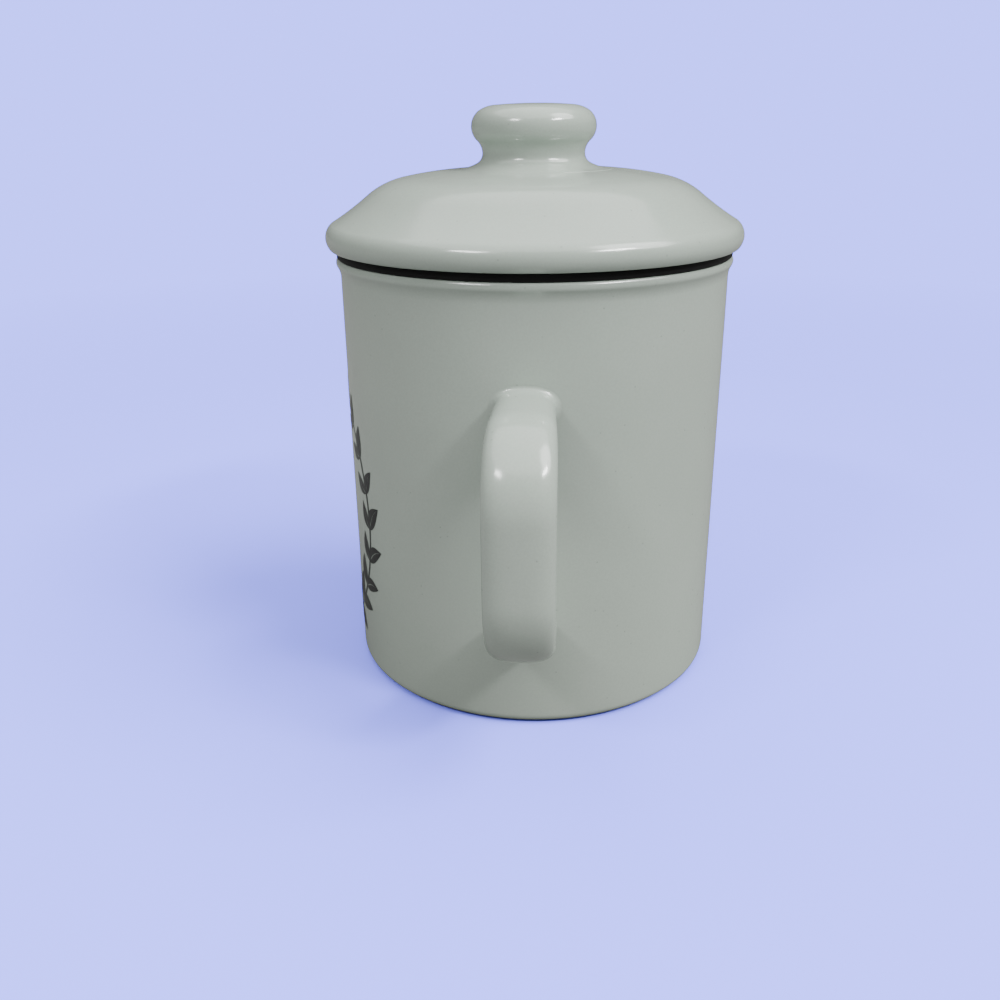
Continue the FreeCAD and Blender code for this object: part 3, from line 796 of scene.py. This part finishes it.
class OBJECT_OT_strainer(Operator):
    """Draw the strainer's cup, weave its mesh and bend its finger loops"""

    bl_idname = "container.strainer"
    bl_label = "Strainer"

    def cup(self):
        """The drawn cup with a hemmed flange and an inward lip."""
        sheet, bend = SHEET, SHEET_BEND
        rim = CUP_HIGH.x
        out = CUP_RADIUS
        low, ledge = CUP_LOW.z, LEDGE_Z
        outer = bend + sheet
        lip = out - LIP_WIDTH
        ring = Outline(out + bend, ledge)
        ring.arc(out, ledge - bend, bend, 6)
        ring.line(out, low + outer, 30)
        ring.arc(out - outer, low, -outer, 8)
        ring.line(lip, low, 3)
        ring.line(lip, low + sheet, 2)
        ring.line(out - outer, low + sheet, 3)
        ring.arc(out - sheet, low + outer, bend, 6)
        ring.line(out - sheet, ledge - bend, 30)
        ring.arc(out + bend, ledge + sheet, -outer, 8)
        ring.line(rim - 1.7 * MM, ledge + sheet)
        ring.arc(rim - 1.2 * MM, ledge + sheet * 2, -0.7 * MM, 4)
        ring.line(rim - 0.6 * MM, ledge + sheet * 2)
        ring.arc(rim - 0.6 * MM, ledge, -sheet, 8)
        ring.line(out + bend, ledge)
        cup = lathe("strainer_shell", ring)
        settle(cup, "strainer", material("spun_steel"), "strainer_cup")

    def weave(self):
        """Plain-woven wires, laid row by row both ways and trimmed to the mesh's round edge."""
        pitch = look().wire_pitch
        wire = WIRE_RADIUS
        radius = MESH_HIGH.x - wire
        middle = (MESH_LOW.z + MESH_HIGH.z) / 2
        lift = (MESH_HIGH.z - MESH_LOW.z) / 2 - wire
        count = int(radius / pitch)
        wires = []
        for lengthways in (False, True):
            for number in range(-count, count + 1):
                row = number * pitch
                phase = math.pi * (number + lengthways)

                def place(u, v):
                    along = (v * 2 - 1) * (count + 1) * pitch
                    turn = 2 * math.pi * u
                    across = row + wire * math.cos(turn)
                    rise = lift * math.cos(math.pi * along / pitch + phase)
                    up = middle + rise + wire * math.sin(turn)
                    return Vector((along, across, up) if lengthways else (across, along, up))

                wires.append(wrapped("wire", 4, (count + 1) * 8, place))
        weave = joined("woven_mesh", wires)
        bpy.ops.object.mode_set(mode="EDIT")
        bpy.ops.mesh.select_mode(type="VERT")
        bpy.ops.mesh.select_all(action="DESELECT")
        bpy.ops.object.mode_set(mode="OBJECT")
        for vertex in weave.data.vertices:
            vertex.select = vertex.co.xy.length > radius
        bpy.ops.object.mode_set(mode="EDIT")
        bpy.ops.mesh.delete(type="VERT")
        bpy.ops.object.mode_set(mode="OBJECT")
        turn_outside_out(weave)
        close_holes(weave)
        settle(weave, "strainer", material("wire_steel"), "strainer_mesh")

    def clamp(self):
        """The ring that clamps the mesh, with rounded edges."""
        inner, outer = CLAMP_HIGH.x - CLAMP_WIDTH, CLAMP_HIGH.x
        low, high = CLAMP_LOW.z, CLAMP_HIGH.z
        soft = 0.25 * MM
        ring = Outline(inner, low)
        ring.line(outer, low, 3)
        ring.line(outer, high - soft)
        ring.arc(outer - soft, high, soft, 3)
        ring.line(inner + soft, high, 3)
        ring.arc(inner, high - soft, soft, 3)
        ring.line(inner, low)
        clamp = lathe("clamp_ring", ring)
        settle(clamp, "strainer", material("spun_steel"), "mesh_ring")

    def loop(self, side, node):
        """A wire from the cup's wall, round two corners and back.

        Open fault: the corners turn outwards, through the wall, and should turn inwards.
        """
        low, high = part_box(node)
        wire = (high.z - low.z) / 2
        level = (high.z + low.z) / 2
        half = (high.y - low.y) / 2 - wire
        inner = min(abs(low.x), abs(high.x)) + wire
        wall = math.sqrt(LOOP_ROOT ** 2 - half ** 2)
        bend = LOOP_BEND
        clear_selection()
        bpy.ops.mesh.primitive_circle_add(
            vertices=20, radius=wire, fill_type="NGON", location=(side * wall, -half, level),
            rotation=(0, math.pi / 2, 0))
        piece = bpy.context.object
        piece.name = node + "_wire"
        bpy.ops.object.transform_apply(location=True, rotation=True, scale=True)
        bpy.ops.object.mode_set(mode="EDIT")
        bpy.ops.mesh.select_all(action="SELECT")
        straight = {"TRANSFORM_OT_translate": {"value": (side * (inner + bend - wall), 0, 0)}}
        back = {"TRANSFORM_OT_translate": {"value": (side * (wall - inner - bend), 0, 0)}}
        along = {"TRANSFORM_OT_translate": {"value": (0, 2 * (half - bend), 0)}}
        corner = math.pi / 2
        bpy.ops.mesh.extrude_region_move(**straight)
        for y, run in ((bend - half, along), (half - bend, back)):
            centre = (side * (inner + bend), y, level)
            bpy.ops.mesh.spin(steps=12, angle=-corner * side, center=centre, axis=(0, 0, 1))
            bpy.ops.mesh.extrude_region_move(**run)
        bpy.ops.object.mode_set(mode="OBJECT")
        turn_outside_out(piece)
        settle(piece, "strainer", material("wire_steel"), node)

    def execute(self, context):
        self.cup()
        self.weave()
        self.clamp()
        self.loop(1, "finger_loop_right")
        self.loop(-1, "finger_loop_left")
        return {"FINISHED"}


class OBJECT_OT_print(Operator):
    """Print a wreath of leaves on the jar, a quarter turn from the handle"""

    bl_idname = "container.print"
    bl_label = "Printed wreath"

    middle_z = 45 * MM
    tallness = 1.16
    leaf_length = 11.5 * MM
    leaf_width = 4.6 * MM
    stem_width = 0.9 * MM
    lift = 0.035 * MM

    def on_wall(self, across, up):
        """A place of the flat design, wrapped on the wall about -X."""
        angle = math.pi + across / WALL_RADIUS
        radius = WALL_RADIUS + self.lift
        return Vector((radius * math.cos(angle), radius * math.sin(angle), self.middle_z + up))

    def leaf(self, root, heading, length, width):
        """A pointed leaf with a pale rib left open along its middle."""
        along = Vector((math.cos(heading), math.sin(heading)))
        beside = Vector((-along.y, along.x))
        halves = []
        for side in (-1, 1):
            def place(u, v, side=side):
                swell = math.sin(math.pi * v ** 0.8) ** 0.9
                rib = 0.18 * MM * (1 - v)
                off = side * (rib + u * max(width * swell - rib, 0.0))
                spot = root + along * (v * length) + beside * off
                spot += beside * (length * 0.10 * math.sin(math.pi * v))
                return self.on_wall(spot.x, spot.y)
            halves.append(wrapped("leaf", 3, 12, place))
        return halves

    def band(self, spots, width):
        """A thin drawn line through the spots of the flat design, tapered at its ends."""
        count = len(spots) - 1

        def place(u, v):
            index = min(int(v * count), count - 1)
            share = v * count - index
            spot = spots[index].lerp(spots[index + 1], share)
            heading = (spots[index + 1] - spots[index]).normalized()
            beside = Vector((-heading.y, heading.x))
            taper = 0.35 + 0.65 * math.sin(math.pi * v) ** 0.5
            spot = spot + beside * ((u - 0.5) * width * taper)
            return self.on_wall(spot.x, spot.y)

        return wrapped("stem", 1, count * 2, place)

    def on_oval(self, side, radius, stop):
        """A place of the flat design on the wreath's stem."""
        return Vector((side * radius * math.cos(stop), self.tallness * radius * math.sin(stop)))

    def branch(self, side, draws):
        """Half of the wreath, from its foot up round one side."""
        radius = look().wreath_radius
        pieces = []
        first, last = math.radians(-80), math.radians(76)
        stops = [first + (last - first) * step / 24 for step in range(25)]
        ring = [self.on_oval(side, radius, stop) for stop in stops]
        pieces.append(self.band(ring, self.stem_width))
        pairs = look().leaf_pairs
        for number in range(pairs):
            stop = first + (last - first) * (number + 0.7) / (pairs + 0.3)
            root = self.on_oval(side, radius, stop)
            ahead = stop + math.pi / 2
            for way in (-1, 1):
                heading = ahead - way * math.radians(38 + draws.uniform(-6, 6))
                if side < 0:
                    heading = math.pi - heading
                scale = (1.0 - 0.25 * number / pairs) * draws.uniform(0.9, 1.08)
                pieces += self.leaf(root, heading, self.leaf_length * scale * 0.86,
                                    self.leaf_width * scale * 0.5)
        tip = self.on_oval(side, radius, last)
        heading = last + math.pi / 2
        if side < 0:
            heading = math.pi - heading
        pieces += self.leaf(tip, heading, self.leaf_length * 0.75, self.leaf_width * 0.35)
        return pieces

    def sprig(self, draws):
        """An upright sprig with needle leaves in the middle of the wreath."""
        pieces = []
        spots = [Vector((1.6 * MM * math.sin(step / 4), (-15 + 2.4 * step) * MM))
                 for step in range(13)]
        pieces.append(self.band(spots, self.stem_width))
        for number in range(2, 12):
            root = spots[number]
            for way in (-1, 1):
                heading = math.pi / 2 + way * math.radians(44 + draws.uniform(-7, 7))
                length = (9.0 - 0.42 * number) * MM * draws.uniform(0.92, 1.08)
                pieces += self.leaf(root, heading, length, 0.62 * MM)
        return pieces

    def execute(self, context):
        draws = random.Random(5)
        pieces = self.branch(1, draws) + self.branch(-1, draws) + self.sprig(draws)
        print_piece = joined("printed_wreath", pieces)
        away = Vector((-1, 0, 0))
        for face in print_piece.data.polygons:
            if face.normal.dot(away) < 0:
                face.flip()
        print_piece.data.update()
        bpy.ops.object.shade_smooth()
        settle(print_piece, "jar", material("ink"))
        return {"FINISHED"}


CAMERA_PLACE = Vector((9.56, -266.99, 148.01)) * MM
CAMERA_AHEAD = Vector((-0.06646, 0.92783, -0.36703))
CAMERA_UP = Vector((-0.01602, 0.36680, 0.93016))
FOCAL_PIXELS = 985.44
FRAME_PIXELS = 1000
SENSOR_WIDTH = 36.0


class OBJECT_OT_stage(Operator):
    """Lay the floor, hang the soft lights and place the camera"""

    bl_idname = "container.stage"
    bl_label = "Stage"

    def floor(self):
        """A wide round floor with a narrow edge inset."""
        clear_selection()
        bpy.ops.mesh.primitive_circle_add(vertices=96, radius=6, fill_type="NGON")
        floor = bpy.context.object
        floor.name = "floor"
        bpy.ops.object.mode_set(mode="EDIT")
        bpy.ops.mesh.select_all(action="SELECT")
        bpy.ops.mesh.inset(thickness=0.05)
        bpy.ops.object.mode_set(mode="OBJECT")
        floor.data.materials.append(material("floor"))

    def lamp(self, name, data, place, target=(0, 0, 0.08)):
        """Hangs a light that faces the object."""
        lamp = bpy.data.objects.new(name, data)
        lamp.location = place
        lamp.rotation_euler = (Vector(target) - Vector(place)).to_track_quat("-Z", "Y").to_euler()
        bpy.context.scene.collection.objects.link(lamp)

    def window(self, name, place, size, power):
        """A soft rectangular light."""
        data = bpy.data.lights.new(name, "AREA")
        data.shape = "RECTANGLE"
        data.size, data.size_y = size
        data.energy = power
        self.lamp(name, data, place)

    def wide(self, name, place, spread, strength):
        """A wide soft light from far off."""
        data = bpy.data.lights.new(name, "SUN")
        data.angle = math.radians(spread)
        data.energy = strength
        self.lamp(name, data, place)

    def camera(self):
        """The camera, at the photograph's place and angle."""
        data = bpy.data.cameras.new("photo_camera")
        data.sensor_width = SENSOR_WIDTH
        data.lens = FOCAL_PIXELS / FRAME_PIXELS * SENSOR_WIDTH
        data.clip_start = 0.01
        camera = bpy.data.objects.new("photo_camera", data)
        right = CAMERA_AHEAD.cross(CAMERA_UP)
        turn = Matrix((right, CAMERA_UP, -CAMERA_AHEAD)).transposed().to_4x4()
        camera.matrix_world = Matrix.Translation(CAMERA_PLACE) @ turn
        bpy.context.scene.collection.objects.link(camera)
        bpy.context.scene.camera = camera

    def room(self):
        """Low even light from all round, behind which the camera sees the floor's own colour."""
        room = bpy.data.worlds.new("soft_room")
        room.use_nodes = True
        tree = room.node_tree
        dim = tree.nodes["Background"]
        dim.inputs["Color"].default_value = (1, 1, 1, 1)
        dim.inputs["Strength"].default_value = ROOM_LIGHT
        seen = tree.nodes.new("ShaderNodeBackground")
        seen.inputs["Color"].default_value = (*look().floor, 1)
        output = tree.nodes["World Output"]
        even = lit_evenly(tree, seen.outputs[0], dim.outputs[0])
        tree.links.new(even, output.inputs["Surface"])
        bpy.context.scene.world = room

    def execute(self, context):
        self.floor()
        self.window("right_window", (0.724, -0.566, 0.87), (0.36, 0.10), look().window_power)
        self.window("left_window", (-0.553, -0.734, 0.87), (0.30, 0.10), look().second_power)
        self.wide("side_light", (0.63, -0.13, 0.85), 35, look().side_sun)
        self.wide("top_light", (0, -0.01, 1), 85, look().top_sun)
        self.camera()
        self.room()
        return {"FINISHED"}


OPERATORS = (
    OBJECT_OT_jar, OBJECT_OT_handle, OBJECT_OT_print, OBJECT_OT_strainer, OBJECT_OT_seal,
    OBJECT_OT_lid, OBJECT_OT_knob, OBJECT_OT_stage,
)


class VIEW3D_PT_container(Panel):
    """Lists the container's pieces and settings"""

    bl_idname = "VIEW3D_PT_container"
    bl_label = "Grease container"
    bl_space_type = "VIEW_3D"
    bl_region_type = "UI"
    bl_category = "Container"

    def draw(self, context):
        column = self.layout.column()
        for name in ContainerLook.__annotations__:
            column.prop(context.scene.container_look, name)
        for operator in OPERATORS:
            column.operator(operator.bl_idname)


CLASSES = (ContainerLook, *OPERATORS, VIEW3D_PT_container)


def register():
    """Registers the classes and the scene's settings."""
    for entry in CLASSES:
        bpy.utils.register_class(entry)
    bpy.types.Scene.container_look = PointerProperty(type=ContainerLook)


def unregister():
    """Takes the settings and the classes out again."""
    del bpy.types.Scene.container_look
    for entry in reversed(CLASSES):
        bpy.utils.unregister_class(entry)


def main():
    """Makes every piece and the stage."""
    register()
    bpy.ops.container.jar()
    bpy.ops.container.handle()
    bpy.ops.container.print()
    bpy.ops.container.strainer()
    bpy.ops.container.seal()
    bpy.ops.container.lid()
    bpy.ops.container.knob()
    bpy.ops.container.stage()


if __name__ == "__main__":
    main()
